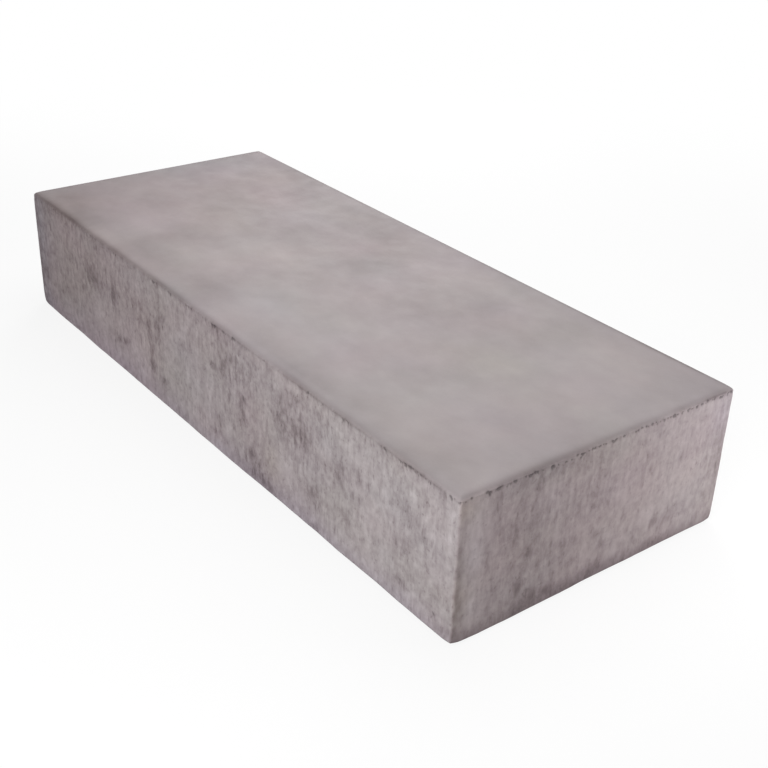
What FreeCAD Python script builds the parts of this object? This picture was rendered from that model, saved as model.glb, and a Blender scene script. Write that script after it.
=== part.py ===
# Precast concrete block step: one solid block, vibrated and pressed in an open mould.
# The press shoe leaves a flat tread with a narrow bevel all round it. The mould walls leave plain
# upright sides with eased corners, and the edges round the bed face are rounded off.
# The step stands as it is laid: +X along the stair's width, the front riser facing -Y, +Z up.
# The origin is the middle of the bed face.
import FreeCAD, Part
import os
import Sketcher

doc = FreeCAD.newDocument("precast_step")

# Driving dimensions in millimetres, one row each: alias, value, what it measures
dimensions = (
    ("step_length", 1000, "from end face to end face"),
    ("step_depth", 400, "from the front riser to the back face"),
    ("step_rise", 180, "from the bed face to the tread"),
    ("bevel_width", 5, "pressed bevel round the tread, measured in plan"),
    ("bevel_drop", 3, "fall of the bevel from the tread to the sides"),
    ("tread_corner_radius", 2, "plan corners of the flat tread, inside the bevel"),
    ("foot_radius", 6, "rounded edge round the bed face"),
)

# Edges whose ends differ in height by less than this, in millimetres, count as level
level_tolerance = 0.001

sizes = doc.addObject("Spreadsheet::Sheet", "Sizes")
for row, (alias, value, meaning) in enumerate(dimensions, start=1):
    sizes.set(f"A{row}", alias)
    sizes.set(f"B{row}", str(value))
    sizes.set(f"C{row}", meaning)
    sizes.setAlias(f"B{row}", alias)
doc.recompute()


def origin_plane(body, role):
    return next(plane for plane in body.Origin.OriginFeatures if plane.Role == role)


def edges_of(feature, wanted):
    edges = enumerate(feature.Shape.Edges, start=1)
    return [f"Edge{number}" for number, edge in edges if wanted(edge)]


def is_upright(edge):
    return edge.BoundBox.ZLength > edge.BoundBox.XLength + edge.BoundBox.YLength


def is_level_at(height):
    def lies_there(edge):
        box = edge.BoundBox
        return abs(box.ZMin - height) < level_tolerance and box.ZLength < level_tolerance

    return lies_there


def draw_plan(body):
    """The block's plan: a rectangle centred on the origin, its corners still square."""
    plan = body.newObject("Sketcher::SketchObject", "Plan")
    plan.AttachmentSupport = [(origin_plane(body, "XY_Plane"), "")]
    plan.MapMode = "FlatFace"
    half_length = sizes.step_length / 2
    half_depth = sizes.step_depth / 2
    corners = [
        FreeCAD.Vector(-half_length, -half_depth),
        FreeCAD.Vector(half_length, -half_depth),
        FreeCAD.Vector(half_length, half_depth),
        FreeCAD.Vector(-half_length, half_depth),
    ]
    front, right, back, left = (
        plan.addGeometry(Part.LineSegment(corners[side], corners[(side + 1) % 4])) for side in range(4)
    )
    for side, following in ((front, right), (right, back), (back, left), (left, front)):
        plan.addConstraint(Sketcher.Constraint("Coincident", side, 2, following, 1))
    for side in (front, back):
        plan.addConstraint(Sketcher.Constraint("Horizontal", side))
    for side in (right, left):
        plan.addConstraint(Sketcher.Constraint("Vertical", side))
    plan.addConstraint(Sketcher.Constraint("Symmetric", front, 1, back, 1, -1, 1))
    length = plan.addConstraint(Sketcher.Constraint("DistanceX", front, 1, front, 2, 2 * half_length))
    depth = plan.addConstraint(Sketcher.Constraint("DistanceY", right, 1, right, 2, 2 * half_depth))
    plan.renameConstraint(length, "length")
    plan.renameConstraint(depth, "depth")
    plan.setExpression("Constraints.length", "Sizes.step_length")
    plan.setExpression("Constraints.depth", "Sizes.step_depth")
    return plan


def make_step_block():
    body = doc.addObject("PartDesign::Body", "StepBlock")
    body.Label = "step_block"

    block = body.newObject("PartDesign::Pad", "Block")
    block.Profile = draw_plan(body)
    block.setExpression("Length", "Sizes.step_rise")
    doc.recompute()

    # The upright corners run parallel to the tread's own corners, one bevel further out.
    corners = body.newObject("PartDesign::Fillet", "UprightCorners")
    corners.Base = (block, edges_of(block, is_upright))
    corners.setExpression("Radius", "Sizes.tread_corner_radius + Sizes.bevel_width")
    doc.recompute()

    bevel = body.newObject("PartDesign::Chamfer", "TreadBevel")
    bevel.Base = (corners, edges_of(corners, is_level_at(sizes.step_rise)))
    bevel.ChamferType = "Two distances"
    bevel.FlipDirection = True
    bevel.setExpression("Size", "Sizes.bevel_width")
    bevel.setExpression("Size2", "Sizes.bevel_drop")
    doc.recompute()

    foot = body.newObject("PartDesign::Fillet", "FootEdge")
    foot.Base = (bevel, edges_of(bevel, is_level_at(0)))
    foot.setExpression("Radius", "Sizes.foot_radius")
    doc.recompute()
    return body


pieces = [make_step_block()]
doc.recompute()

failed = [item.Label for item in doc.Objects if {"Invalid", "Error"} & set(item.State)]
failed += [piece.Label for piece in pieces if piece.Shape.isNull() or not piece.Shape.isValid()]
if failed:
    raise RuntimeError(f"these did not build: {failed}")

cubic_mm_per_m3 = 1e9
os.makedirs("parts", exist_ok=True)
for piece in pieces:
    piece.Shape.exportStep(f"parts/{piece.Label}.step")
    box = piece.Shape.BoundBox
    print(
        f"{piece.Label}: {box.XLength:.1f} x {box.YLength:.1f} x {box.ZLength:.1f} mm, "
        f"{piece.Shape.Volume / cubic_mm_per_m3:.5f} m3, {len(piece.Shape.Solids)} solid"
    )
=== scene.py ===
# Precast concrete step: a dry-cast block with a smooth cloudy tread, drag-marked sides and worn edges
import math

import bpy
import numpy as np
from mathutils import Matrix, Vector


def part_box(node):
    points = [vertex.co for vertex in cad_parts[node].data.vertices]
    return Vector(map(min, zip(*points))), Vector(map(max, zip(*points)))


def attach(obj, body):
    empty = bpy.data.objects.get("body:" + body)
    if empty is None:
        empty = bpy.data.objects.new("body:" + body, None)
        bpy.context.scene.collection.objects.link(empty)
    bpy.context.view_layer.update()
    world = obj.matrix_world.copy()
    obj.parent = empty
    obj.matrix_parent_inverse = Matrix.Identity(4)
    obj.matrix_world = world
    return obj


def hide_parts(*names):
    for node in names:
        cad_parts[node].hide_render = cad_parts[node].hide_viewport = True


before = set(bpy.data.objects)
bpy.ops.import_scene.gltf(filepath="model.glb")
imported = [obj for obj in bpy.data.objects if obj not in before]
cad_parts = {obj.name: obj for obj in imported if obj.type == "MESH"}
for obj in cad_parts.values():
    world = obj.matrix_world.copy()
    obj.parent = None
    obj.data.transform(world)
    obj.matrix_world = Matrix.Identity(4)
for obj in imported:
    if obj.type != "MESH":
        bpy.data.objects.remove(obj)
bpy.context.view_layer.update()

mm = 0.001
lowCorner, highCorner = (np.array(corner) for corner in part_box("step_block"))
halfLength, halfDepth = (highCorner - lowCorner)[:2] / 2
rise = highCorner[2]
print("frame loaded, block", (highCorner - lowCorner).round(4))


# Noise

noiseTableSide = 48  # lattice points before the noise repeats


def valueNoise(points, seed):
    # Random heights on a unit lattice, blended by 3t^2 - 2t^3 between lattice points: a number from -1 to 1
    table = np.random.default_rng(seed).uniform(-1, 1, (noiseTableSide,) * 3)
    cell = np.floor(points).astype(int)
    part = points - cell
    ease = part * part * (3 - 2 * part)
    total = np.zeros(points.shape[:-1])
    for corner in np.ndindex(2, 2, 2):
        share = np.prod(np.where(corner, ease, 1 - ease), axis=-1)
        x, y, z = np.moveaxis((cell + corner) % noiseTableSide, -1, 0)
        total += share * table[x, y, z]
    return total


def layeredNoise(points, wavelength, seed, layers=3):
    # Noise of a given wavelength plus finer layers, each half as long and half as high as the one before
    total = np.zeros(points.shape[:-1])
    for layer in range(layers):
        total += valueNoise(points * (2 ** layer / np.array(wavelength)), seed + layer) / 2 ** layer
    return total / (2 - 2 ** (1 - layers))


def smoothStep(value, start, end):
    # 0 before start, 1 after end, 3t^2 - 2t^3 between
    t = np.clip((value - start) / (end - start), 0, 1)
    return t * t * (3 - 2 * t)


# The block's surface: a section from the tread's rim down to the bed's edge, carried round the plan outline

block = {
    "cornerRadius": 3.5 * mm,  # upright corners in plan
    "mitreRadius": 1 * mm,  # corners of the tread, inside the lip
    "softFall": (1.0 * mm, 14 * mm),  # the tread's edge: a gentle fall from this far in
    "lipFall": (2.2 * mm, 4.5 * mm),  # and a steep one at the very edge
    "alongCells": 52,  # coarse cells of the tread and bed along the length
    "acrossCells": 20,  # and across the depth
    "finePerCell": 16,  # columns of the rim for each coarse cell; the sides have half as many
    "finePerCorner": 8,
    "capInset": 16 * mm,  # the coarse grid of the tread and bed starts this far in
    "rimInsets": (12, 9, 6.6, 4.6, 3.2, 2.1, 1.2, 0.4),  # rows of the lip, in millimetres from the side
    "rimDrops": (0, 0.8, 2.0, 3.6, 5.6),  # rows under the lip, in millimetres below it
    "edgeFacing": math.pi / 6,  # how far up from level the lip's lowest row faces
    "sideTop": 168.5 * mm,  # where the half as dense rows start
    "sideRows": 42,
    "footTop": 11 * mm,  # where the closer rows of the foot start
    "footHeights": (9, 7.2, 5.6, 4.2, 3.0, 2.0, 1.2, 0.35),  # rows of the foot, in millimetres above the bed
    "footInsets": (0.35, 1.2, 2.6, 4.2, 6.2, 9),  # rows of the bed, in millimetres from the side
    "hollow": (0.3 * mm, 160 * mm, 30 * mm),  # of the tread and bed: depth, wavelength, fade towards the edge
    "hollowSeeds": (3, 4),  # for the tread, for the bed
}


def planPath(step):
    # The plan outline, anticlockwise from the left end of the front. Each column has a place on a unit
    # square, which placed() widens to the rectangle of the corners' centres, and an outward direction, which
    # turns only at the corners
    corners = np.array([[-1, -1], [1, -1], [1, 1], [-1, 1]])
    perCorner = block["finePerCorner"] // step
    squares, quarterTurns = [], []
    for side in range(4):
        here, there = corners[side], corners[(side + 1) % 4]
        cells = block["acrossCells"] if side % 2 else block["alongCells"]
        count = cells * block["finePerCell"] // step
        share = np.arange(count) / count
        squares += [here + share[:, None] * (there - here), np.repeat(there[None], perCorner, axis=0)]
        quarterTurns += [np.full(count, side - 1.0), side - 1 + np.arange(perCorner) / perCorner]
    angle = np.concatenate(quarterTurns) * math.pi / 2
    path = {
        "square": np.concatenate(squares),
        "outward": np.stack([np.cos(angle), np.sin(angle)], axis=1),
    }
    outline = placed(path, np.zeros(len(angle)), np.zeros(len(angle)))
    lengths = np.linalg.norm(np.roll(outline, -1, axis=0) - outline, axis=1)
    along = np.concatenate([[0], np.cumsum(lengths)])
    path["along"], path["around"] = along[:-1], along[-1]
    return path


def placed(path, inset, height):
    # The section's points in the block's frame, in from the outline by inset and at the given height. The
    # plan corners keep one centre until the inset nears their radius, and are mitred from there on
    radius = np.maximum(block["cornerRadius"] - inset, block["mitreRadius"])[..., None]
    centre = path["square"] * (np.array([halfLength, halfDepth]) - inset[..., None] - radius)
    return np.concatenate([centre + radius * path["outward"], height[..., None]], axis=-1)


def rimSection():
    # Rows of the lip and just under it: inset from the side, height, and the way the surface faces,
    # as an angle up from level. Each of the two falls takes drop * (1 - inset / width)^2 off the height
    inset = np.array(block["rimInsets"]) * mm
    height, slope = rise, 0
    for drop, width in (block["softFall"], block["lipFall"]):
        share = np.clip(1 - inset / width, 0, 1)
        height = height - drop * share ** 2
        slope = slope + 2 * drop / width * share
    drops = np.array(block["rimDrops"]) * mm
    lipBase = rise - block["softFall"][0] - block["lipFall"][0]
    facing = np.concatenate([math.pi / 2 - np.arctan(slope), np.zeros(len(drops))])
    facing[len(inset)] = block["edgeFacing"]
    return np.concatenate([inset, 0 * drops]), np.concatenate([height, lipBase - drops]), facing


def sideSection():
    # Rows of the plain side, closer together at the foot, then of the bed's edge
    plain = np.linspace(block["sideTop"], block["footTop"], block["sideRows"])
    down = np.concatenate([plain, np.array(block["footHeights"]) * mm])
    under = np.array(block["footInsets"]) * mm
    inset = np.concatenate([0 * down, under])
    height = np.concatenate([down, 0 * under])
    facing = np.concatenate([0 * down, 0 * under - math.pi / 2])
    return inset, height, facing


# Wear: everything that takes the block's surface inward from the plain section

wear = {
    "wave": (0.5 * mm, (210 * mm, 210 * mm, 120 * mm), 11),  # depth, wavelength, seed
    "lumps": (0.35 * mm, (22 * mm, 22 * mm, 34 * mm), 21),
    "drags": (0.2 * mm, (6 * mm, 6 * mm, 40 * mm), 31),
    "evenness": (1, 0.5),  # share of the lumps and drags that the front and back have, and the ends
    "broadPatches": (0.22, 0.32, (55 * mm, 55 * mm, 48 * mm), 5),  # level, swing, wavelength, seed
    "patchShare": 0.75,  # how much of the listed patches is added to the broad ones
    "patchRange": (-0.8, 1.6),
    # A pit's chance is perPatch times the patchiness, less what is spared on the front and back, on the ends
    "bigPits": {"cell": (15 * mm, 14 * mm), "radius": (2.0 * mm, 4.5 * mm), "depth": (0.5 * mm, 1.4 * mm),
                "tall": 1.3, "seed": 41, "perPatch": 0.65, "spared": (0.22, 0.4)},
    "smallPits": {"cell": (7 * mm, 8 * mm), "radius": (1.5 * mm, 2.8 * mm), "depth": (0.3 * mm, 0.8 * mm),
                  "tall": 1.6, "seed": 51, "perPatch": 0.8, "spared": (0.16, 0.16)},
    "linePits": {"cell": (7.2 * mm, 40 * mm), "radius": (1.5 * mm, 3.3 * mm), "depth": (0.7 * mm, 1.7 * mm),
                 "tall": 0.9, "seed": 61},
    "lineChance": (0.9, 1.2),  # of a pit in the line: on the ends between its gaps, at a listed dash
    "lineHeight": 175.3 * mm,  # the row of pits under the tread's lip
    "pitShift": (2.2 * mm, 7 * mm, (91, 101)),  # how far pit outlines wander, over what length, seeds
    "pitTail": 1.5,  # how much further a pit runs out below its middle than above
    "sideLean": (0.5, 0.95),  # sines of the upward lean between which a side passes into the tread
    # The foot's round: distance along the outline from the front's left end and radius, in millimetres
    "footRadii": (
        (0, 2.2), (60, 1.4), (140, 2.4), (200, 1.2), (270, 2.2), (420, 3.0), (600, 3.4), (640, 5.6),
        (700, 6.4), (755, 7.6), (800, 6.2), (870, 9.0), (910, 7.8), (985, 9.6), (1012, 7.0), (1035, 5.0),
        (1150, 5.6), (1190, 8.0), (1250, 7.2), (1310, 8.2), (1395, 7.0), (1500, 6.0), (1700, 4.2),
        (1900, 5.4), (2150, 4.0), (2380, 7.5), (2430, 5.0), (2600, 6.5), (2770, 4.0),
    ),
    "footRounding": (1.6 * mm, (30 * mm, 30 * mm, 30 * mm), 71),  # and what chance adds to it
    "arrisChips": (0.8 * mm, (11 * mm, 11 * mm, 14 * mm), 81),  # on the upright corners
    "arrisBreaks": (30 * mm, 9, -0.2, 0.5),  # and where: wavelength, seed, noise levels for none and all
    "cornerReach": 7 * mm,  # how far from an upright corner its wear shows
    "footCorners": {(1, 1): (2.2 * mm, 16 * mm), (1, -1): (3.4 * mm, 18 * mm),  # wear, reach
                    (-1, -1): (2.5 * mm, 20 * mm), (-1, 1): (3 * mm, 20 * mm)},
    "treadCorners": {(1, 1): (1.2 * mm, 16 * mm), (1, -1): (1.2 * mm, 14 * mm),
                     (-1, -1): (1.5 * mm, 16 * mm), (-1, 1): (1 * mm, 14 * mm)},
}

# Stains, listed one by one. A patch is an oval: distance along the side, height, half width and half height
# in millimetres, then its strength: pitted and darker, or paler where that is negative
# The low rows along the foot add to or take from the foot's painted shade
frontPatches = (
    (8, 90, 9, 120, 0.5), (46, 90, 45, 90, 0.32), (26, 60, 10, 12, 0.7), (20, 10, 16, 12, 0.4),
    (184, 113, 20, 20, 0.85), (162, 80, 14, 14, 0.75), (120, 60, 30, 25, 0.25), (262, 115, 12, 18, 1.2),
    (218, 108, 26, 18, 0.5), (324, 122, 7, 5, 0.7), (346, 121, 7, 8, 0.7), (365, 101, 10, 17, 1.1),
    (371, 72, 8, 14, 1.1), (340, 103, 12, 12, 0.35), (392, 108, 9, 21, 1.1), (404, 130, 7, 11, 0.7),
    (400, 72, 10, 16, 0.35), (372, 47, 10, 13, 1.1), (402, 38, 9, 12, 1.1), (269, 46, 15, 11, 1.05),
    (296, 51, 12, 9, 1.0), (452, 112, 10, 8, 0.3), (538, 120, 12, 6, 0.7), (560, 128, 9, 19, 0.6),
    (532, 25, 12, 5, 0.8), (548, 45, 10, 14, 0.4), (572, 85, 6, 25, 0.6), (603, 86, 9, 28, 0.8),
    (625, 36, 17, 13, 0.55), (655, 9, 16, 9, 0.7), (688, 112, 12, 27, 0.55), (738, 118, 12, 15, 0.85),
    (716, 112, 8, 14, 0.5), (755, 51, 14, 11, 0.9), (706, 120, 60, 45, 0.35), (806, 106, 11, 18, 0.85),
    (818, 52, 11, 15, 0.75), (827, 82, 9, 16, 0.5), (837, 116, 8, 14, 0.5), (922, 121, 11, 13, 0.9),
    (955, 85, 6, 24, 0.6), (925, 78, 6, 16, 0.5), (915, 33, 9, 6, 0.7), (760, 10, 20, 12, 0.3),
    (815, 10, 16, 12, 0.2), (660, 14, 75, 22, 0.3), (85, 14, 85, 24, 0.1), (130, 118, 14, 10, 0.3),
    (98, 60, 12, 14, 0.35), (72, 40, 12, 10, 0.4), (345, 40, 9, 8, 0.35), (330, 74, 14, 9, 0.3),
    (432, 60, 8, 12, 0.35), (478, 118, 9, 8, 0.4), (624, 75, 30, 25, 0.2), (980, 20, 14, 22, 0.4),
    (870, 60, 8, 14, 0.4), (220, 62, 24, 20, -0.8), (330, 50, 22, 18, -0.7), (450, 75, 35, 28, -0.5),
    (510, 80, 30, 22, -0.3), (704, 48, 20, 28, -0.6), (988, 130, 8, 60, -0.5), (458, 22, 50, 20, -0.3),
    (860, 25, 60, 25, -0.25), (590, 130, 55, 40, 0.3), (624, 18, 40, 16, 0.3), (205, 132, 45, 38, 0.28),
    (541, 158, 35, 18, 0.35), (706, 150, 45, 25, 0.25), (624, 45, 35, 40, 0.2), (706, 18, 40, 18, 0.25),
    (954, 20, 25, 18, 0.2), (954, 160, 30, 18, 0.2), (215, 18, 35, 20, -0.4), (294, 16, 30, 14, -0.25),
    (789, 22, 25, 18, -0.3), (868, 80, 22, 35, -0.5), (958, 68, 25, 20, -0.15), (376, 95, 50, 50, -0.15),
    (550, 172, 55, 12, 0.45), (225, 171, 80, 12, 0.4), (920, 173, 50, 7, 0.4), (95, 168, 60, 12, 0.3),
)
endPatches = (
    (88, 40, 7, 12, 1.5), (108, 22, 8, 10, 1.4), (130, 20, 7, 8, 1.1), (98, 80, 6, 8, 0.8),
    (95, 65, 4, 8, 0.4), (55, 50, 12, 10, 0.45), (115, 60, 4, 5, 0.6), (150, 62, 4, 10, 0.5),
    (162, 40, 7, 8, 0.6), (105, 118, 7, 10, 0.7), (50, 155, 8, 25, 0.35), (80, 140, 20, 45, 0.5),
    (75, 110, 10, 15, 0.4), (105, 160, 6, 15, 0.35), (197, 60, 8, 6, 1.0), (207, 45, 7, 8, 1.2),
    (205, 18, 18, 12, 0.7), (292, 42, 7, 9, 1.5), (318, 40, 14, 10, 0.8), (285, 14, 20, 8, 0.5),
    (210, 98, 4, 8, 0.6), (190, 101, 5, 4, 0.4), (305, 103, 4, 6, 0.5), (262, 125, 12, 22, 0.25),
    (120, 168, 75, 16, 0.5), (120, 10, 100, 14, 0.45), (300, 8, 120, 12, 0.3), (105, 35, 75, 38, 0.22),
    (125, 100, 70, 60, 0.34), (300, 95, 110, 90, 0.14), (388, 90, 16, 110, 0.5), (24, 145, 15, 40, -1.1),
    (20, 100, 13, 28, -0.9), (27, 46, 11, 24, -1.1), (227, 155, 8, 8, -0.4), (277, 50, 9, 20, -0.5),
    (230, 100, 9, 9, -0.4), (330, 70, 40, 20, -0.3), (273, 135, 25, 30, 0.3), (376, 14, 26, 20, 0.4),
    (365, 60, 45, 50, 0.12), (176, 162, 22, 16, 0.2), (176, 16, 22, 14, 0.2), (78, 14, 25, 14, 0.2),
    (127, 88, 18, 16, -0.35), (228, 90, 14, 14, -0.2),
)

# Clouds on the tread, in the same form, with the distance from the front in place of the height. The rows
# along its edges are painted shade of the rolled edge
treadCloudsAndEdgeShade = (
    (65, 35, 45, 25, 1.0), (150, 25, 45, 25, 0.9), (295, 40, 45, 25, 0.7), (285, 115, 45, 35, 0.45),
    (455, 40, 45, 30, 0.7), (590, 25, 60, 12, 0.5), (700, 20, 70, 12, 0.9), (900, 12, 100, 10, 0.25),
    (435, 345, 40, 28, 0.6), (490, 265, 32, 35, 0.7), (665, 235, 38, 28, 0.6), (695, 305, 20, 28, 0.5),
    (355, 365, 30, 20, 0.5), (150, 140, 70, 35, 0.4), (500, 400, 600, 35, 0.35), (0, 200, 60, 300, 0.45),
    (500, 0, 600, 30, 0.3), (985, 375, 45, 35, 0.8), (170, 35, 240, 42, 0.42), (60, 120, 70, 60, 0.3),
    (150, 250, 60, 130, 0.28), (800, 30, 170, 35, 0.2), (960, 140, 45, 110, 0.25), (95, 7, 80, 6, 0.6),
    (215, 60, 32, 45, -0.6), (500, 125, 80, 40, -0.25), (365, 115, 40, 60, -0.6), (560, 75, 80, 35, -0.5),
    (300, 305, 35, 50, -0.5), (540, 310, 32, 32, -0.4), (215, 275, 40, 28, -0.4),
    (400, 185, 50, 25, -0.35), (590, 150, 60, 30, -0.2), (352, 38, 38, 26, 0.45),
    (500, 290, 60, 30, 0.25), (950, 290, 40, 40, 0.3), (200, 360, 70, 30, 0.25), (54, 80, 40, 60, 0.2),
    (992, 130, 10, 75, 0.4), (20, 128, 22, 20, 0.45), (978, 285, 25, 50, 0.3), (648, 45, 40, 25, -0.15),
    (450, 120, 40, 35, -0.15),
)

# Broad tints, in the same form, with how much redder and how much bluer in place of the strength
frontTints = (
    (150, 90, 170, 150, 0.02, 0), (900, 90, 280, 200, -0.04, 0), (550, 100, 60, 120, -0.015, 0),
    (13, 90, 26, 200, -0.04, 0.045), (220, 6, 230, 30, 0.025, 0.065), (740, 4, 120, 26, 0.015, 0.05),
    (930, 4, 90, 26, 0.01, 0.04), (560, 4, 90, 24, 0.01, 0.04), (140, 95, 55, 45, 0.01, -0.022),
    (130, 152, 45, 22, 0.03, 0.01), (48, 60, 40, 90, 0.015, 0.015), (330, 165, 80, 25, -0.018, 0.005),
    (541, 110, 35, 30, -0.022, -0.02), (668, 46, 20, 30, -0.005, -0.045), (300, 75, 60, 40, 0, 0.02),
    (620, 80, 40, 60, 0.02, 0.012), (460, 80, 50, 40, -0.02, -0.01), (550, 172, 60, 14, 0.022, 0.012),
    (100, 174, 60, 10, 0.012, -0.015),
)
endTints = (
    (140, 110, 130, 120, 0.03, -0.005), (330, 60, 110, 120, 0.015, 0.005),
    (392, 160, 22, 30, -0.01, 0.04), (5, 60, 14, 50, 0, -0.04), (95, 30, 75, 38, -0.012, 0.015),
    (20, 100, 18, 35, -0.01, 0.02), (150, 55, 110, 30, 0, -0.02), (200, 165, 150, 20, 0, -0.012),
    (6, 166, 14, 14, 0.02, -0.05), (180, 14, 130, 20, 0.012, -0.01), (130, 170, 90, 16, -0.035, -0.012),
)
treadTints = (
    (110, 70, 170, 90, 0.04, 0), (160, 200, 120, 80, 0.025, 0), (40, 320, 60, 90, -0.005, 0.03),
    (150, 290, 70, 70, 0.025, 0), (450, 320, 60, 50, 0.01, 0.015), (695, 300, 30, 40, 0.015, 0.012),
    (665, 235, 40, 30, 0.015, 0), (800, 225, 60, 35, -0.008, -0.02), (560, 80, 90, 40, -0.02, 0.012),
    (940, 200, 150, 250, -0.01, 0), (65, 35, 45, 25, 0.03, -0.005), (700, 45, 150, 45, -0.004, 0.005),
    (150, 330, 70, 60, 0.02, 0.005), (350, 30, 70, 30, 0.027, 0.008), (60, 270, 40, 30, 0.02, 0.005),
    (700, 5, 320, 14, -0.012, 0.018), (590, 130, 80, 50, -0.01, 0), (850, 110, 140, 50, 0.003, -0.008),
    (790, 210, 70, 35, 0, -0.012), (100, 4, 70, 12, 0.035, -0.02), (230, 4, 80, 12, 0.015, -0.005),
    (550, 6, 60, 14, 0.025, 0.006), (992, 130, 14, 80, 0, -0.012), (955, 40, 50, 40, -0.012, 0),
    (450, 285, 45, 35, 0.018, 0.008), (748, 120, 40, 40, -0.01, 0), (500, 395, 600, 22, 0, 0.014),
    (60, 385, 60, 25, 0.008, 0.018), (10, 215, 24, 75, -0.035, 0.008), (10, 30, 24, 25, -0.03, 0),
    (975, 380, 50, 40, 0.008, 0.014),
)

# Stretches along the tread's edge: distance along the side, half length, strength. First the dark band on the
# lip, which is dirt and painted shade of the rolled edge, then the painted shadow under it, the broken line
# there and where the ends' line is clean
noStretch = ((0, 1, 0),)
lipDirtAndPaintedShade = (
    (90, 75, 0.6), (230, 60, 0.17), (275, 40, 0.16), (390, 70, 0.24), (560, 40, 0.12), (720, 60, 0.14),
    (820, 60, 0.14),
)
endLipDirtAndPaintedShade = (
    (20, 30, 0.18), (75, 30, 0.19), (140, 45, 0.25), (225, 30, 0.17), (300, 40, 0.2), (365, 22, 0.1),
)
# Painted shadow under the lip, by stretches
underLipPaintedShadow = ((230, 70, 0.16), (400, 90, 0.12), (600, 100, 0.24), (800, 90, 0.48), (945, 45, 0.42))
endUnderLipPaintedShadow = ((120, 80, 0.18), (300, 40, 0.16), (368, 30, 0.55))
lineDashes = (
    (275, 6, 0.5), (385, 14, 0.5), (432, 5, 0.4), (482, 8, 0.5), (538, 9, 0.75), (562, 8, 0.65),
    (582, 7, 0.45), (660, 8, 0.12), (740, 7, 0.5), (770, 6, 0.4), (815, 7, 0.7), (884, 6, 0.5),
    (900, 5, 0.4), (914, 9, 0.75), (932, 8, 0.85), (955, 6, 0.4), (988, 8, 0.6),
)
endBare = ((20, 20, 0.9), (205, 28, 0.4))

# Stains down the upright corners, in the form of the patches
frontCornerStains = ((996, 50, 6, 14, 0.45), (994, 24, 6, 12, 0.4), (998, 95, 4, 16, 0.3))
endCornerStains = (
    (4, 122, 5, 12, 0.5), (6, 92, 6, 14, 0.6), (3, 70, 6, 14, 0.5), (3, 50, 8, 14, 0.6),
    (7, 34, 7, 13, 0.5), (4, 16, 9, 12, 0.6),
)
# Where dirt and painted shade darken the block, and how much
dirtAndPaintedShade = {
    # The band along the lip: dirt and painted shade of the rolled edge
    "lipMiddle": -1.2 * mm,  # the band's middle, measured down the section from the tread's edge
    "lipReach": 6.0 * mm,
    "lipShade": 0.22,
    "lipSwing": (0.6, 45 * mm, 19),  # how much its darkness varies, over what length, seed
    "underMiddle": (3.2 * mm, 1.4 * mm),  # the painted shadow under it, on the front and back, on the ends
    "underReach": (2.8 * mm, 2.0 * mm),
    "lineMiddle": 4.2 * mm,  # the broken line
    "lineReach": 2.4 * mm,
    "dashShade": 0.65,  # the line's listed dashes
    "lineShade": (0.1, 0.4),  # the rest of the line, on the front and back, on the ends
    "lineDots": ((7 * mm, 7 * mm, 9 * mm), 23, -0.45, 0.3),  # wavelength, seed, noise levels for none and all
    "lineGaps": ((32 * mm, 32 * mm, 12 * mm), 17, -0.6, 0.3),
    # Painted shade down the rounds of the upright corners
    "cornerShade": 0.07,
    "cornerSwing": (0.6, 25 * mm, 29),
    "cornerRags": ((6 * mm, 6 * mm, 13 * mm), 37, -0.9, 0.5),
    # The foot's darkening and its blue: painted shade with some dirt
    "footReach": 24 * mm,
    "footRags": (8 * mm, 35 * mm, 18),  # how far the edge of the foot's painted shade wanders, over what length, seed
    "footShade": (0.1, 0.62),
    "footBlue": 0.03,
    "pitDark": (0.8, 1.4),  # how dark a pit is painted for each millimetre of depth, and a pit of the line: painted shade in the hollow, with dirt
    "endCalm": (0.56, 1),  # how calm the ends' texture is, from their first corner to their last
}


def sideStarts():
    # Where each straight side would start along the outline if its corners were square
    quarter = block["cornerRadius"] * math.pi / 2
    length, depth = 2 * (halfLength - block["cornerRadius"]), 2 * (halfDepth - block["cornerRadius"])
    runs = np.array([0, length + quarter, length + depth + 2 * quarter, 2 * length + depth + 3 * quarter])
    return runs - block["cornerRadius"]


def ovals(rows, across, up):
    # The sum of soft ovals, strengths * exp(-d^2), with d the distance in half widths and half heights
    total = np.zeros(across.shape + (len(rows[0]) - 4,))
    for place, level, wide, tall, *strengths in rows:
        offset = ((across - place * mm) / (wide * mm)) ** 2 + ((up - level * mm) / (tall * mm)) ** 2
        total += np.exp(-offset)[..., None] * strengths
    return total


def onSides(path, along, height, frontRows, endRows):
    # The listed ovals on all four sides: the back repeats the front's, and the left end the right's. Each
    # side's fade out round its corners
    total = 0
    for side, start in enumerate(sideStarts()):
        turn = (side - 1) * math.pi / 2
        facing = np.clip(path["outward"] @ (math.cos(turn), math.sin(turn)), 0, 1) ** 2
        across = (along - start + path["around"] / 2) % path["around"] - path["around"] / 2
        total = total + facing[:, None] * ovals(endRows if side % 2 else frontRows, across, height)
    return total


def onTread(points, rows):
    # The listed ovals on the tread, from its front left corner
    return ovals(rows, points[..., 0] + halfLength, points[..., 1] + halfDepth)


def byFace(path, pair):
    # The first of two values on the front and back, the second on the ends
    onEnds = np.abs(path["outward"][:, 0])
    return pair[0] + onEnds * (pair[1] - pair[0])


def patchiness(path, along, height, points):
    # How pitted and dark a side is: broad noise plus the listed patches, kept within a range
    listed = onSides(path, along, height, frontPatches, endPatches)[..., 0]
    level, swing, wavelength, seed = wear["broadPatches"]
    broad = level + swing * layeredNoise(points, wavelength, seed)
    return np.clip(broad + wear["patchShare"] * listed, *wear["patchRange"])


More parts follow.
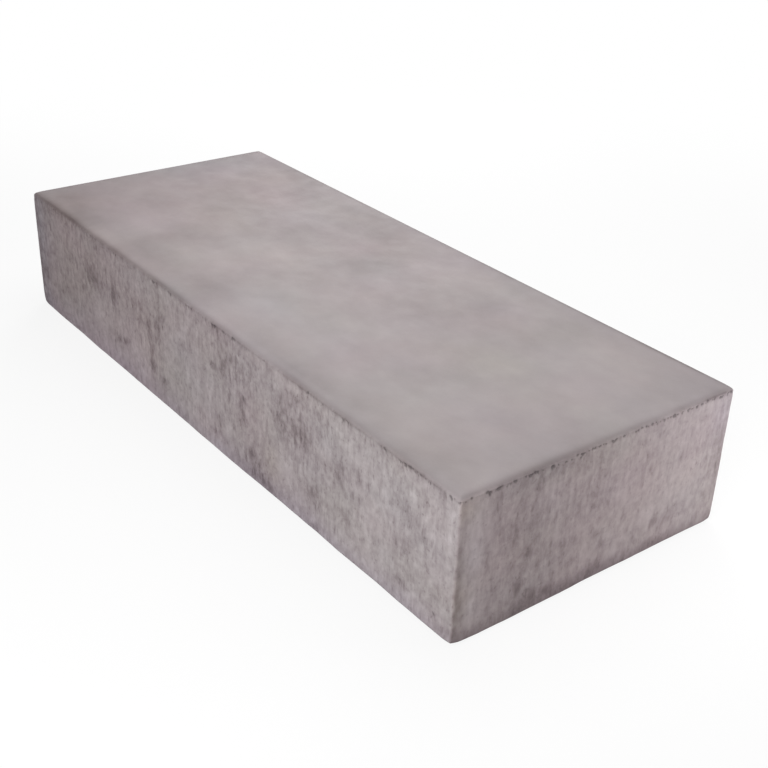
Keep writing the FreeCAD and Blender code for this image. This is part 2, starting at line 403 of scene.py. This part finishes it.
def cellPits(path, along, height, pits, chance, level=None):
    # At most one pit in each cell of a jittered grid round the block. A pit is a bowl, depth * (1 - d^2)^1.5,
    # with d the distance in pit radii, and it runs out further below its middle than above. Radii grow with
    # the cube of a draw, so most pits are small. With a level given, the pits lie in a row at that height
    count = round(path["around"] / pits["cell"][0])
    wide, tall = path["around"] / count, pits["cell"][1]
    rows = math.ceil(rise / tall) + 2
    draws = np.random.default_rng(pits["seed"]).random((5, rows, count))
    column, row = np.floor(along / wide).astype(int), np.floor(height / tall).astype(int)
    deepest = np.zeros(along.shape)
    for stepAlong in (-1, 0, 1):
        for stepUp in (-1, 0, 1):
            aside, upward, size, deep, luck = draws[:, (row + stepUp) % rows, (column + stepAlong) % count]
            if level is None:
                middleUp = (row + stepUp + upward) * tall
            else:
                middleUp = level + (upward - 0.5) * pits["radius"][1]
            radius = pits["radius"][0] + size ** 3 * (pits["radius"][1] - pits["radius"][0])
            acrossShare = (along - (column + stepAlong + aside) * wide) / radius
            up = height - middleUp
            upShare = up / (radius * pits["tall"] * np.where(up < 0, wear["pitTail"], 1))
            bowl = np.clip(1 - acrossShare ** 2 - upShare ** 2, 0, 1) ** 1.5
            depth = pits["depth"][0] + size * deep * (pits["depth"][1] - pits["depth"][0])
            deepest = np.maximum(deepest, np.where(luck < chance, depth * bowl, 0))
    return deepest


def noiseDepth(points, kind):
    # A depth from 0 to the stated one, by layered noise
    depth, wavelength, seed = wear[kind]
    return depth * (0.5 + 0.5 * layeredNoise(points, wavelength, seed))


def brokenUp(points, breaks):
    # A share from 0 to 1 by layered noise, eased between the noise levels for none and all
    wavelength, seed, none, full = breaks
    return smoothStep(layeredNoise(points, wavelength, seed), none, full)


def swung(points, swing):
    # 1 plus or minus the stated share, by layered noise
    share, wavelength, seed = swing
    return 1 + share * layeredNoise(points, wavelength, seed)


def dashes(path, along, frontRows, endRows):
    # Stretches along the tread's edge, the back's and the left end's as the others': strength * exp(-d^2),
    # with d the distance in half lengths
    front, end = (
        [(place, 0, length, 1, strength) for place, length, strength in rows] for rows in (frontRows, endRows)
    )
    return onSides(path, along, np.zeros(along.shape), front, end)[..., 0]


def carvedBand(path, section):
    # Takes the section's rows round the path and wears them inward: waves, drag marks, pits, the row of pits
    # under the tread's lip, chipped upright corners and a ragged foot. Gives the points and their stains and
    # painted shade
    shape = (len(section[0]), len(path["along"]))
    inset, height, facing = (np.broadcast_to(values[:, None], shape) for values in section)
    along = np.broadcast_to(path["along"], shape)
    points = placed(path, inset, height)

    onSide = 1 - smoothStep(np.sin(facing), *wear["sideLean"])
    patch = patchiness(path, along, height, points)
    shift, shiftLength, shiftSeeds = wear["pitShift"]
    shifted = [
        place + shift * layeredNoise(points, shiftLength, seed)
        for place, seed in zip((along, height), shiftSeeds)
    ]
    pits = np.maximum(*(
        cellPits(path, *shifted, kind, kind["perPatch"] * patch - byFace(path, kind["spared"]))
        for kind in (wear["bigPits"], wear["smallPits"])
    ))
    dashed = dashes(path, along, lineDashes, noStretch)
    gaps = brokenUp(points, dirtAndPaintedShade["lineGaps"])
    gaps = gaps * np.clip(1 - dashes(path, along, noStretch, endBare), 0, 1)
    onEnds, onDashes = wear["lineChance"]
    lineChance = byFace(path, (0, onEnds)) * gaps + onDashes * dashed
    line = cellPits(path, along, height, wear["linePits"], lineChance, wear["lineHeight"])

    turned = cornerShare(path)
    arris = turned * noiseDepth(points, "arrisChips") * brokenUp(points, wear["arrisBreaks"])
    uneven = noiseDepth(points, "lumps") + noiseDepth(points, "drags")
    depth = noiseDepth(points, "wave") + byFace(path, wear["evenness"]) * uneven
    depth = (depth + np.maximum(pits, line)) * onSide + arris
    footRadius = np.interp(along, *np.array(wear["footRadii"]).T * mm, period=path["around"])
    footRadius = footRadius + noiseDepth(points, "footRounding")
    worn = rounded((inset + depth * np.cos(facing), height - depth * np.sin(facing)), footRadius)

    # Stains and painted shade: the band on the lip is dirt and painted shade of the rolled edge, under it lie
    # a painted shadow and the broken line, the upright corners get painted shade and stains, and the foot
    # painted shade with some dirt
    down = rise - height - inset
    band = np.exp(-((down - dirtAndPaintedShade["lipMiddle"]) / dirtAndPaintedShade["lipReach"]) ** 2)
    band = band * (dirtAndPaintedShade["lipShade"] + dashes(path, along, lipDirtAndPaintedShade, endLipDirtAndPaintedShade))
    underMiddle, underReach = (byFace(path, dirtAndPaintedShade[name]) for name in ("underMiddle", "underReach"))
    under = np.exp(-((down - underMiddle) / underReach) ** 2)
    band = band + under * dashes(path, along, underLipPaintedShadow, endUnderLipPaintedShadow)
    band = band * swung(points, dirtAndPaintedShade["lipSwing"])
    broken = byFace(path, (dirtAndPaintedShade["dashShade"], 0)) * dashed + byFace(path, dirtAndPaintedShade["lineShade"]) * gaps
    broken = broken * np.exp(-((down - dirtAndPaintedShade["lineMiddle"]) / dirtAndPaintedShade["lineReach"]) ** 2)
    broken = broken * brokenUp(points, dirtAndPaintedShade["lineDots"])
    rag, ragLength, ragSeed = dirtAndPaintedShade["footRags"]
    foot = 1 - smoothStep(height + rag * layeredNoise(points, ragLength, ragSeed), 0, dirtAndPaintedShade["footReach"])
    corners = dirtAndPaintedShade["cornerShade"] * turned * swung(points, dirtAndPaintedShade["cornerSwing"])
    cornerStains = onSides(path, along, height, frontCornerStains, endCornerStains)[..., 0]
    corners = onSide * (corners + cornerStains * brokenUp(points, dirtAndPaintedShade["cornerRags"]))
    shade = np.maximum(np.maximum(band, broken), np.maximum(corners, byFace(path, dirtAndPaintedShade["footShade"]) * foot))

    acrossEnd = np.sign(points[..., 0]) * points[..., 1]
    calmer = np.interp(acrossEnd, (-halfDepth, halfDepth), dirtAndPaintedShade["endCalm"])
    sideTint = onSides(path, along, height, frontTints, endTints) + foot[..., None] * (0, dirtAndPaintedShade["footBlue"])
    tint = sideTint * onSide[..., None] + onTread(points, treadTints) * (1 - onSide[..., None])
    pitDark, lineDark = dirtAndPaintedShade["pitDark"]
    stainsAndShade = {
        "pitDepth": np.clip(np.maximum(pitDark * pits, lineDark * line) * onSide / mm, 0, 1),
        "grimeAndPaintedShade": patch * onSide + onTread(points, treadCloudsAndEdgeShade)[..., 0] * (1 - onSide),
        "shade": np.clip(shade, 0, 1),
        "sideShare": onSide,
        "endShare": onSide * byFace(path, (0, 1)) * calmer,
        "tint": tint,
    }
    return placed(path, *worn), stainsAndShade


def rounded(distances, radius):
    # Distances in from the two faces of an edge: what lies outside a round of that radius is pulled in to it
    reach = [np.clip(radius - distance, 0, None) for distance in distances]
    length = np.hypot(*reach)
    pull = np.where(length > radius, radius / np.maximum(length, radius), 1)
    return [np.where(value > 0, radius - value * pull, distance) for value, distance in zip(reach, distances)]


def cornerShare(path):
    # 1 on the upright corners, falling along the sides as exp(-d^2), with d the distance in reaches
    outline = placed(path, np.zeros(len(path["along"])), np.zeros(len(path["along"])))
    fromCorner = np.linalg.norm(np.array([halfLength, halfDepth]) - np.abs(outline[:, :2]), axis=1)
    return np.exp(-((fromCorner / wear["cornerReach"]) ** 2))


def wornCorners(points, amounts, level, up):
    # Each corner is drawn in towards the block's middle, by amount * (1 - distance / reach)^2
    for (alongSign, acrossSign), (amount, reach) in amounts.items():
        corner = np.array([alongSign * halfLength, acrossSign * halfDepth, level])
        near = np.clip(1 - np.linalg.norm(points - corner, axis=-1) / reach, 0, 1)
        inward = np.array([-alongSign, -acrossSign, up]) / math.sqrt(3)
        points = points + amount * near[..., None] ** 2 * inward
    return points


def capGrid(height, sign, seed):
    # The flat middle of the tread or bed: a coarse grid, hollowed a little by noise
    half = np.array([halfLength, halfDepth]) - block["capInset"]
    x = np.linspace(-half[0], half[0], block["alongCells"] + 1)
    y = np.linspace(-half[1], half[1], block["acrossCells"] + 1)
    flat = np.stack(np.meshgrid(x, y, indexing="ij"), axis=-1)
    points = np.concatenate([flat, np.full(flat.shape[:2] + (1,), height)], axis=-1)
    edge = np.min(half - np.abs(flat), axis=-1)
    depth, wavelength, fade = block["hollow"]
    hollow = depth * (0.5 + 0.5 * layeredNoise(points, wavelength, seed)) * smoothStep(edge, 0, fade)
    points[..., 2] -= sign * hollow
    return points


# The map a texture can be baked to: each face of the block laid flat, about a millimetre to a pixel

flatMap = {
    "span": 1.02,  # width and height of the whole map, in metres
    "faces": ("front", "rightEnd", "back", "leftEnd", "tread", "bed"),
    "front": (0.010, 0.415),  # where the corner of each face lies
    "rightEnd": (0.010, 0.795),
    "back": (0.010, 0.605),
    "leftEnd": (0.420, 0.795),
    "tread": (0.010, 0.005),
    "bed": (0.830, 0.795),
    "bedScale": (0.18, 0.45),
}


def laidFlat(points):
    # Where each point lies on the map, for each of the six faces it may belong to
    x, y, z = (points + (halfLength, halfDepth, 0)).T
    across, deep = flatMap["bedScale"]
    flat = {
        "front": (x, z),
        "rightEnd": (y, z),
        "back": (2 * halfLength - x, z),
        "leftEnd": (2 * halfDepth - y, z),
        "tread": (x, y),
        "bed": (across * x, deep * y),
    }
    return np.stack([
        (np.stack(flat[name], axis=1) + flatMap[name]) / flatMap["span"] for name in flatMap["faces"]
    ])


def sideNumbers(path):
    # Which of the four sides each column's faces are nearest to facing, numbered as in the map
    middle = path["outward"] + np.roll(path["outward"], -1, axis=0)
    quarterTurns = np.arctan2(middle[:, 1], middle[:, 0]) / (math.pi / 2)
    return np.round(quarterTurns + 1).astype(int) % 4


def bandNumbers(path, facing):
    # Faces that look more up than out are the tread's, more down than out the bed's, and the rest a side's
    lean = ((facing[:-1] + facing[1:]) / 2)[:, None]
    numbers = np.where(lean > math.pi / 4, flatMap["faces"].index("tread"), sideNumbers(path))
    return np.where(lean < -math.pi / 4, flatMap["faces"].index("bed"), numbers).ravel()


# Faces, as rows of vertex numbers

def bandFaces(first, rows, columns):
    # Four-sided faces between each row and the next, closed round the outline
    row, column = np.meshgrid(np.arange(rows - 1), np.arange(columns), indexing="ij")
    after = (column + 1) % columns
    here, below = row * columns, (row + 1) * columns
    corners = (here + column, below + column, below + after, here + after)
    return first + np.stack(corners, axis=-1).reshape(-1, 4)


def halvingFaces(fineFirst, coarseFirst, columns):
    # Three triangles for each coarse column, between a row and one half as dense below it
    coarse = np.arange(columns)
    after = coarseFirst + (coarse + 1) % columns
    left, middle, right = (fineFirst + (2 * coarse + ahead) % (2 * columns) for ahead in range(3))
    below = coarseFirst + coarse
    sets = ((left, below, middle), (middle, below, after), (middle, after, right))
    return np.concatenate([np.stack(corners, axis=1) for corners in sets])


def gridFaces(first, flip):
    # Four-sided faces of a cap's coarse grid
    along, across = block["alongCells"], block["acrossCells"]
    column, row = (cells.ravel() for cells in np.meshgrid(np.arange(along), np.arange(across), indexing="ij"))
    start = column * (across + 1) + row
    faces = first + np.stack([start, start + across + 1, start + across + 2, start + 1], axis=1)
    return faces[:, ::-1] if flip else faces


def capLoop(first):
    # The coarse grid's edge vertices in the order of the outline, for each of the four sides
    along, across = block["alongCells"], block["acrossCells"]
    number = first + np.arange((along + 1) * (across + 1)).reshape(along + 1, across + 1)
    return number[:, 0], number[-1, :], number[::-1, -1], number[0, ::-1]


def fanFaces(ringFirst, ringCount, step, loops, flip):
    # Triangles from a dense ring to a cap's edge: half of each cell's columns go to either of its ends,
    # and a corner's columns go to the cap's corner
    perCell = block["finePerCell"] // step
    perCorner = block["finePerCorner"] // step
    faces, start = [], 0
    for loop in loops:
        cells = len(loop) - 1
        column = np.arange(cells * perCell + perCorner)
        nearest = loop[np.minimum((column + perCell // 2) // perCell, cells)]
        ring = [ringFirst + (start + column + ahead) % ringCount for ahead in (0, 1)]
        faces.append(np.stack([ring[0], ring[1], nearest], axis=1))
        halfway = ringFirst + start + np.arange(cells) * perCell + perCell // 2
        faces.append(np.stack([halfway, loop[1:], loop[:-1]], axis=1))
        start += len(column)
    faces = np.concatenate(faces)
    return faces[:, ::-1] if flip else faces


def meshFrom(name, vertices, faceSets, numberSets):
    # One mesh from sets of four-sided and three-sided faces, with the face of the block that each is part of
    mesh = bpy.data.meshes.new(name)
    loops = np.concatenate([faces.ravel() for faces in faceSets])
    totals = np.concatenate([np.full(len(faces), faces.shape[1]) for faces in faceSets])
    mesh.vertices.add(len(vertices))
    mesh.vertices.foreach_set("co", vertices.astype(np.float32).ravel())
    mesh.loops.add(len(loops))
    mesh.loops.foreach_set("vertex_index", loops.astype(np.int32))
    mesh.polygons.add(len(totals))
    mesh.polygons.foreach_set("loop_start", np.concatenate([[0], np.cumsum(totals)[:-1]]).astype(np.int32))
    mesh.polygons.foreach_set("loop_total", totals.astype(np.int32))
    mesh.polygons.foreach_set("use_smooth", np.ones(len(totals), bool))
    onMap = laidFlat(vertices)[np.repeat(np.concatenate(numberSets), totals), loops]
    mesh.uv_layers.new(name="OFBake").data.foreach_set("uv", onMap.astype(np.float32).ravel())
    mesh.update(calc_edges=True)
    mesh.validate()
    print(name, len(vertices), "vertices,", int((totals - 2).sum()), "triangles")
    return mesh


def makeBlock():
    # The rim, the half as dense sides, the coarse tread and bed, and the rows that join them, as one mesh.
    # The stains and painted shade go on its points as attributes
    finePath, sidePath = planPath(1), planPath(2)
    rimPoints, rimStainsAndShade = carvedBand(finePath, rimSection())
    sidePoints, sideStainsAndShade = carvedBand(sidePath, sideSection())
    rimPoints = wornCorners(rimPoints, wear["treadCorners"], rise, -1)
    sidePoints = wornCorners(sidePoints, wear["footCorners"], 0, 1)
    treadSeed, bedSeed = block["hollowSeeds"]
    tread, bed = capGrid(rise, 1, treadSeed), capGrid(0, -1, bedSeed)
    parts = [points.reshape(-1, 3) for points in (rimPoints, sidePoints, tread, bed)]
    rimFirst, sideFirst, treadFirst, bedFirst = np.cumsum([0] + [len(part) for part in parts[:3]])
    rimRows, fineColumns = rimPoints.shape[:2]
    sideRows, sideColumns = sidePoints.shape[:2]
    lastRim = rimFirst + (rimRows - 1) * fineColumns
    lastSide = sideFirst + (sideRows - 1) * sideColumns
    faceSets = [
        bandFaces(rimFirst, rimRows, fineColumns),
        bandFaces(sideFirst, sideRows, sideColumns),
        gridFaces(treadFirst, False),
        gridFaces(bedFirst, True),
        halvingFaces(lastRim, sideFirst, sideColumns),
        fanFaces(rimFirst, fineColumns, 1, capLoop(treadFirst), False),
        fanFaces(lastSide, sideColumns, 2, capLoop(bedFirst), True),
    ]
    ofTread, ofBed = (flatMap["faces"].index(name) for name in ("tread", "bed"))
    numberSets = [
        bandNumbers(finePath, rimSection()[2]),
        bandNumbers(sidePath, sideSection()[2]),
        np.full(len(faceSets[2]), ofTread),
        np.full(len(faceSets[3]), ofBed),
        np.tile(sideNumbers(sidePath), 3),  # three triangles for each column
        np.full(len(faceSets[5]), ofTread),
        np.full(len(faceSets[6]), ofBed),
    ]
    mesh = meshFrom("stepBlock", np.concatenate(parts), faceSets, numberSets)

    treadStainsAndShade = {"grimeAndPaintedShade": onTread(tread, treadCloudsAndEdgeShade), "tint": onTread(tread, treadTints)}
    bedStains = {"sideShare": np.ones(len(parts[3]))}
    for name, rim in rimStainsAndShade.items():
        width = rim.size // len(parts[0])
        plain = np.zeros((len(parts[2]), width))
        stainsAndShade = (rim, sideStainsAndShade[name], treadStainsAndShade.get(name, plain), bedStains.get(name, plain))
        values = np.concatenate([stain.reshape(-1, width) for stain in stainsAndShade])
        if width == 1:
            layer = mesh.attributes.new(name, "FLOAT", "POINT")
            layer.data.foreach_set("value", values.astype(np.float32).ravel())
        else:
            redAndBlue = np.stack([values[:, 0], 0 * values[:, 0], values[:, 1]], axis=1)
            layer = mesh.attributes.new(name, "FLOAT_VECTOR", "POINT")
            layer.data.foreach_set("vector", redAndBlue.astype(np.float32).ravel())
    return mesh


# Materials

def addNode(tree, kind, inputs=None, **settings):
    # A node with its settings and inputs. An input is a value, or another node's output to be linked
    node = tree.nodes.new(kind)
    for name, value in settings.items():
        setattr(node, name, value)
    for name, value in (inputs or {}).items():
        if isinstance(value, bpy.types.NodeSocket):
            tree.links.new(value, node.inputs[name])
        else:
            node.inputs[name].default_value = value
    return node


def newMaterial(name):
    # A material with an empty node tree
    material = bpy.data.materials.new(name)
    material.use_nodes = True
    material.node_tree.nodes.clear()
    return material, material.node_tree


def noise(tree, where, texture, output="Fac"):
    # Noise of a scale in waves per metre, one number or one for each axis, with its detail and roughness
    scale, detail, roughness = texture
    inputs = {"Vector": where, "Scale": np.broadcast_to(scale, 3).tolist()}
    stretched = addNode(tree, "ShaderNodeMapping", inputs).outputs[0]
    inputs = {"Vector": stretched, "Scale": 1.0, "Detail": detail, "Roughness": roughness}
    return addNode(tree, "ShaderNodeTexNoise", inputs).outputs[output]


def maths(tree, operation, *values):
    # One of the Math node's operations on numbers
    return addNode(tree, "ShaderNodeMath", dict(enumerate(values)), operation=operation).outputs[0]


def vector(tree, operation, *values, **named):
    # One of the Vector Math node's operations
    inputs = dict(enumerate(values)) | named
    return addNode(tree, "ShaderNodeVectorMath", inputs, operation=operation).outputs[0]


def plus(tree, base, *terms):
    # base plus each value times its weight
    for value, weight in terms:
        base = maths(tree, "MULTIPLY_ADD", value, weight, base)
    return base


def ramp(tree, value, stops):
    # The colour at a value from 0 to 1, blended between the stops
    node = addNode(tree, "ShaderNodeValToRGB", {"Fac": value})
    while len(node.color_ramp.elements) < len(stops):
        node.color_ramp.elements.new(1.0)
    for element, (place, colour) in zip(node.color_ramp.elements, stops):
        element.position, element.color = place, (*colour, 1)
    return node.outputs["Color"]


def spread(tree, value, low, high, start=0.0, end=1.0):
    # The value's range from low to high, eased to run from start to end
    inputs = {"Value": value, "From Min": low, "From Max": high, "To Min": start, "To Max": end}
    return addNode(tree, "ShaderNodeMapRange", inputs, interpolation_type="SMOOTHSTEP").outputs[0]


def weighted(tree, base, layers, weights):
    # base plus each named layer's distance from one half, times its weight
    base = base - sum(weights.values()) / 2
    return plus(tree, base, *((layers[name], weight) for name, weight in weights.items()))


def mixed(tree, share, first, second):
    # Two colours blended by share: inputs 6 and 7 of a Mix node are its colours, and output 2 the blend
    inputs = {0: share, 6: first, 7: second}
    return addNode(tree, "ShaderNodeMix", inputs, data_type="RGBA", clamp_factor=True).outputs[2]


concrete = {
    "tread": (0.364, 0.321, 0.323),
    "sideRamp": ((0.00, (0.088, 0.067, 0.071)), (0.36, (0.262, 0.213, 0.220)),  # tone, colour
                 (0.60, (0.409, 0.348, 0.355)), (1.00, (0.668, 0.598, 0.602))),
    "textures": {  # waves per metre, detail, roughness
        "clouds": ((5, 6, 5), 2.5, 0.5),
        "mottles": ((15, 19, 17), 5, 0.6),
        "grain": (420, 2, 0.6),
        "streaks": ((180, 180, 32), 2, 0.55),
        "bands": ((70, 70, 10), 2, 0.5),
        "blotches": ((36, 36, 28), 3, 0.6),
        "flecks": ((110, 110, 92), 3, 0.6),
        "ragged": ((125, 125, 72), 3, 0.62),
        "streaky": ((20, 20, 12), 2, 0.5),
        "pinholes": ((240, 240, 190), 1, 0.5),
        "scores": ((150, 150, 48), 2, 0.5),
    },
    "treadTone": {"clouds": 0.26, "mottles": 0.30, "grain": 0.06},  # how much each texture counts
    "sideTone": {"bands": 0.18, "blotches": 0.30, "flecks": 0.56},
    "treadHeight": {"mottles": 0.25, "grain": 0.12},
    "sideHeight": {"streaks": 0.7, "blotches": 0.5, "flecks": 0.6, "grain": 0.2},
    "sideLevel": 0.69,  # the sides' tone where all is even
    "streakiness": (0.35, 0.65, 0.06, 0.42),  # from this range of the noise, to this strength of the streaks
    "pinholes": (0.60, 0.76, -0.14),  # from none at this level of the noise, to all at this, change of tone
    "scores": (0.56, 0.76, -0.16),
    "marks": (0.60, 1.04, -0.23),
    "markDepth": -0.35,
    "grimeAndPaintedShade": (-0.18, -0.12, 0.42),  # what it does to the tread's tone, to the sides' tone, to the marks
    "hue": ((8, 8, 11), 3, 0.5),
    "hueSpread": (1.0, 0.6, 0.8),
    "hueShare": (0.09, 0.10),  # on the tread, on the sides
    "pitShare": 0.52,  # what the deepest pit leaves of the colour: painted shade in the hollow, with dirt
    "dirtAndPaintedShade": (0.565, 0.60, 0.60),  # what the darkest dirt and painted shade take away of each colour
    "roughness": (0.3, 0.7, 0.78, 0.95),  # from this range of the blotches, to this range
    "specular": 0.25,
    "bumpHeight": 0.3 * mm,
    "endTexture": 0.62,  # how strong the texture of the ends is, where calmest, beside that of the front
    "endBump": 0.45,
}


def concreteMaterial():
    # The tread is cloudy and smooth. The sides have fine upright drag streaks, darker patches and pits. A
    # tone is a level plus weighted textures. The colour is the tone's, times hue, the pits' painted shade and
    # what dirt and painted shade leave
    material, tree = newMaterial("concrete")
    where = addNode(tree, "ShaderNodeTexCoord").outputs["Object"]
    pit, grimeAndPaintedShade, shade, onSide, onEnd = (
        addNode(tree, "ShaderNodeAttribute", attribute_name=name).outputs["Fac"]
        for name in ("pitDepth", "grimeAndPaintedShade", "shade", "sideShare", "endShare")
    )
    tint = addNode(tree, "ShaderNodeAttribute", attribute_name="tint").outputs["Vector"]
    layers = {name: noise(tree, where, texture) for name, texture in concrete["textures"].items()}
    treadGrimeAndShade, sideGrimeAndShade, markGrimeAndShade = concrete["grimeAndPaintedShade"]

    treadTone = weighted(tree, 1.0, layers, concrete["treadTone"])
    # Clouds darken the tread, and so does painted shade along its edges
    treadTone = plus(tree, treadTone, (grimeAndPaintedShade, treadGrimeAndShade))

    unevenness = weighted(tree, 0.0, layers, concrete["sideTone"])
    streaky = spread(tree, layers["streaky"], *concrete["streakiness"])
    unevenness = plus(tree, unevenness, (maths(tree, "SUBTRACT", layers["streaks"], 0.5), streaky))
    sources = {
        "pinholes": layers["pinholes"],
        "scores": layers["scores"],
        "marks": plus(tree, layers["ragged"], (grimeAndPaintedShade, markGrimeAndShade)),
    }
    dark = {}
    for name, source in sources.items():
        none, full, change = concrete[name]
        dark[name] = spread(tree, source, none, full)
        unevenness = plus(tree, unevenness, (dark[name], change))
    calm = spread(tree, onEnd, 0.0, 1.0, 1.0, concrete["endTexture"])
    # Patches darken the sides, and those along the foot add painted shade
    sideTone = plus(tree, concrete["sideLevel"], (unevenness, calm), (grimeAndPaintedShade, sideGrimeAndShade))

    hue = vector(tree, "SUBTRACT", noise(tree, where, concrete["hue"], "Color"), (0.5, 0.5, 0.5))
    hue = vector(tree, "MULTIPLY", hue, concrete["hueSpread"])
    hue = vector(tree, "SCALE", hue, Scale=spread(tree, onSide, 0.0, 1.0, *concrete["hueShare"]))
    hue = vector(tree, "ADD", vector(tree, "ADD", hue, tint), (1, 1, 1))
    treadColour = vector(tree, "SCALE", concrete["tread"], Scale=treadTone)
    colour = mixed(tree, onSide, treadColour, ramp(tree, sideTone, concrete["sideRamp"]))
    colour = vector(tree, "MULTIPLY", colour, hue)
    # Darker by the pits' depth: painted shade in the hollows, with dirt
    colour = vector(tree, "SCALE", colour, Scale=spread(tree, pit, 0.0, 1.0, 1.0, concrete["pitShare"]))
    # What dirt and painted shade take from the colour
    taken = vector(tree, "SCALE", concrete["dirtAndPaintedShade"], Scale=shade)
    colour = vector(tree, "MULTIPLY", colour, vector(tree, "SUBTRACT", (1, 1, 1), taken))

    sideHeight = weighted(tree, 0.5, layers, concrete["sideHeight"])
    sideHeight = plus(tree, sideHeight, (dark["marks"], concrete["markDepth"]))
    treadHeight = weighted(tree, 0.5, layers, concrete["treadHeight"])
    # Inputs 2 and 3 of a Mix node are its numbers
    height = addNode(tree, "ShaderNodeMix", {0: onSide, 2: treadHeight, 3: sideHeight}).outputs[0]
    strength = spread(tree, onEnd, 0.0, 1.0, 1.0, concrete["endBump"])
    inputs = {"Strength": strength, "Distance": concrete["bumpHeight"], "Height": height}
    bump = addNode(tree, "ShaderNodeBump", inputs).outputs[0]
    inputs = {
        "Base Color": colour,
        "Roughness": spread(tree, layers["blotches"], *concrete["roughness"]),
        "Normal": bump,
        "Specular IOR Level": concrete["specular"],
    }
    shader = addNode(tree, "ShaderNodeBsdfPrincipled", inputs).outputs[0]
    addNode(tree, "ShaderNodeOutputMaterial", {"Surface": shader})
    return material


stepBlock = bpy.data.objects.new("stepBlock", makeBlock())
bpy.context.scene.collection.objects.link(stepBlock)
stepBlock.data.materials.append(concreteMaterial())
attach(stepBlock, "root")
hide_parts("step_block")
print("block and its concrete made")


# Studio: a white floor that keeps a soft shadow, a white surround, four soft lamps and the camera

studio = {
    "floorSide": 16.0,
    "floorDrop": 0.3 * mm,
    "floorPaint": 0.92,
    "bounce": 0.18,  # how much light the floor sends back to the block
    "glow": 0.86,  # share of plain white in what the camera sees of the floor near the block
    "glowFrom": 0.7,  # beyond this distance the shadow starts to fade to plain white
    "glowTo": 1.7,
    "sky": 0.14,
    "lampAim": (0, 0, 0.1),
    "lamps": {  # direction round the block, height above level in degrees, distance, side, power
        "endLamp": (29, 2, 0.90, 0.5, 2.45),
        "topLamp": (85, 73, 1.20, 1.0, 8.5),
        "frontLamp": (-57, 24, 1.77, 1.0, 21.6),
        "backLamp": (142, 20, 2.08, 1.0, 20.8),
    },
}


def seenDirectly(tree):
    # 1 for what the camera sees, straight or in a reflection or through glass
    path = addNode(tree, "ShaderNodeLightPath").outputs
    seen = maths(tree, "MAXIMUM", path["Is Camera Ray"], path["Is Glossy Ray"])
    return maths(tree, "MAXIMUM", seen, path["Is Transmission Ray"])


def makeFloor():
    # The camera sees a painted floor with a share of plain white, which is all of it far from the block.
    # Other light meets a dull floor
    half = studio["floorSide"] / 2
    corners = np.array([(-1, -1), (1, -1), (1, 1), (-1, 1)]) * half
    mesh = bpy.data.meshes.new("floor")
    mesh.from_pydata([(x, y, -studio["floorDrop"]) for x, y in corners], [], [(0, 1, 2, 3)])
    floor = bpy.data.objects.new("floor", mesh)
    bpy.context.scene.collection.objects.link(floor)
    material, tree = newMaterial("floorWhite")
    where = addNode(tree, "ShaderNodeTexCoord").outputs["Object"]
    away = addNode(tree, "ShaderNodeVectorMath", {0: where}, operation="LENGTH").outputs["Value"]
    glow = spread(tree, away, studio["glowFrom"], studio["glowTo"], studio["glow"], 1.0)
    white = addNode(tree, "ShaderNodeEmission", {"Color": (1, 1, 1, 1), "Strength": 1.0}).outputs[0]
    paint = addNode(tree, "ShaderNodeBsdfDiffuse", {"Color": (studio["floorPaint"],) * 3 + (1,)}).outputs[0]
    dull = addNode(tree, "ShaderNodeBsdfDiffuse", {"Color": (studio["bounce"],) * 3 + (1,)}).outputs[0]
    shown = addNode(tree, "ShaderNodeMixShader", {0: glow, 1: paint, 2: white}).outputs[0]
    surface = addNode(tree, "ShaderNodeMixShader", {0: seenDirectly(tree), 1: dull, 2: shown}).outputs[0]
    addNode(tree, "ShaderNodeOutputMaterial", {"Surface": surface})
    mesh.materials.append(material)


def makeWorld():
    # White where the camera sees it, and dimmer as a light on the block
    world = bpy.data.worlds.new("surround")
    bpy.context.scene.world = world
    world.use_nodes = True
    tree = world.node_tree
    tree.nodes.clear()
    strength = spread(tree, seenDirectly(tree), 0.0, 1.0, studio["sky"], 1.0)
    back = addNode(tree, "ShaderNodeBackground", {"Color": (1, 1, 1, 1), "Strength": strength}).outputs[0]
    addNode(tree, "ShaderNodeOutputWorld", {"Surface": back})


def makeLamps():
    # Square lamps round the aim, each at its own distance and facing it
    aim = Vector(studio["lampAim"])
    for name, (turn, lift, distance, side, power) in studio["lamps"].items():
        lamp = bpy.data.lights.new(name, "AREA")
        lamp.shape, lamp.size, lamp.energy = "SQUARE", side, power
        holder = bpy.data.objects.new(name, lamp)
        turn, lift = math.radians(turn), math.radians(lift)
        way = Vector((math.cos(lift) * math.cos(turn), math.cos(lift) * math.sin(turn), math.sin(lift)))
        facing = (-way).to_track_quat("-Z", "Y").to_matrix().to_4x4()
        holder.matrix_world = Matrix.Translation(aim + distance * way) @ facing
        holder.visible_camera = False
        bpy.context.scene.collection.objects.link(holder)


view = {
    "place": (1.1994, -0.8412, 0.8111),
    "aim": (0.1468, -0.0203, 0.09),
    "roll": 2.157,  # in degrees
    "lens": 56.93,
    "sensor": 36,
}


def makeCamera():
    # At its place, turned to its aim and then rolled about its line of sight
    camera = bpy.data.objects.new("camera", bpy.data.cameras.new("camera"))
    camera.data.lens, camera.data.sensor_width = view["lens"], view["sensor"]
    place, aim = Vector(view["place"]), Vector(view["aim"])
    facing = (aim - place).to_track_quat("-Z", "Y").to_matrix().to_4x4()
    roll = Matrix.Rotation(math.radians(view["roll"]), 4, "Z")
    camera.matrix_world = Matrix.Translation(place) @ facing @ roll
    bpy.context.scene.collection.objects.link(camera)
    bpy.context.scene.camera = camera


makeFloor()
makeWorld()
makeLamps()
makeCamera()
bpy.context.scene.view_settings.view_transform = "Standard"
print("floor, surround, lamps and camera made")
